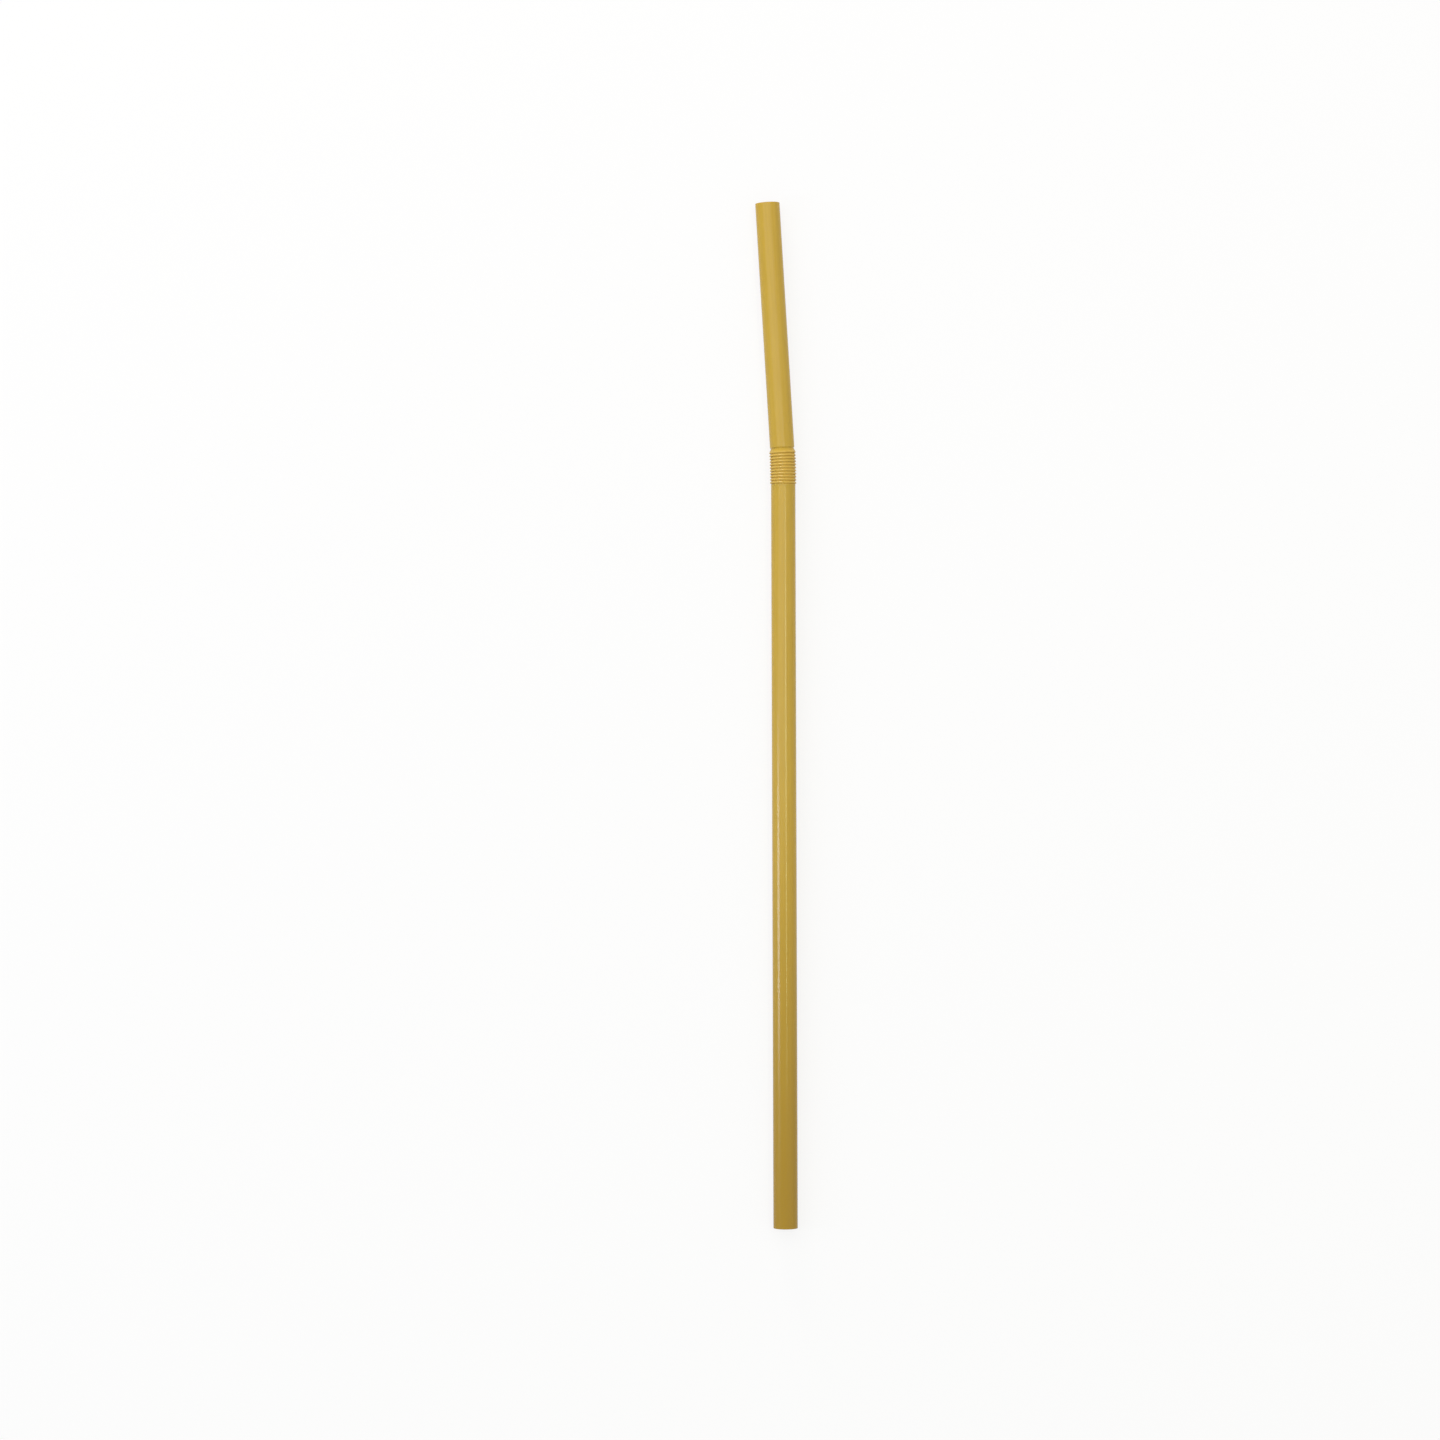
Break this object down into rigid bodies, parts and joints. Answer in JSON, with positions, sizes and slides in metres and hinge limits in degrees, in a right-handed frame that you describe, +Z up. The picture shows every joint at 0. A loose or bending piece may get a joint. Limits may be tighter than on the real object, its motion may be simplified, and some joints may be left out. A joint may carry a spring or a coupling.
{
  "type": "flexible drinking straw",
  "caption": "Thin plastic drinking straw with a collapsed corrugated collar, leaned slightly and lying on its side.",
  "frame": {"origin": "centre of the long tube's open end, on its axis", "axes": "+Y along the long tube towards the drinking end, -X the side that the short tube leans to, +Z up from the surface that the straw lies on"},
  "size_m": [0.0083, 0.2097, 0.0055],
  "materials": {
    "straw": "translucent ochre polypropylene with a satin gloss"
  },
  "bodies": {
    "root": {"straw": "straw"}
  },
  "joints": []
}
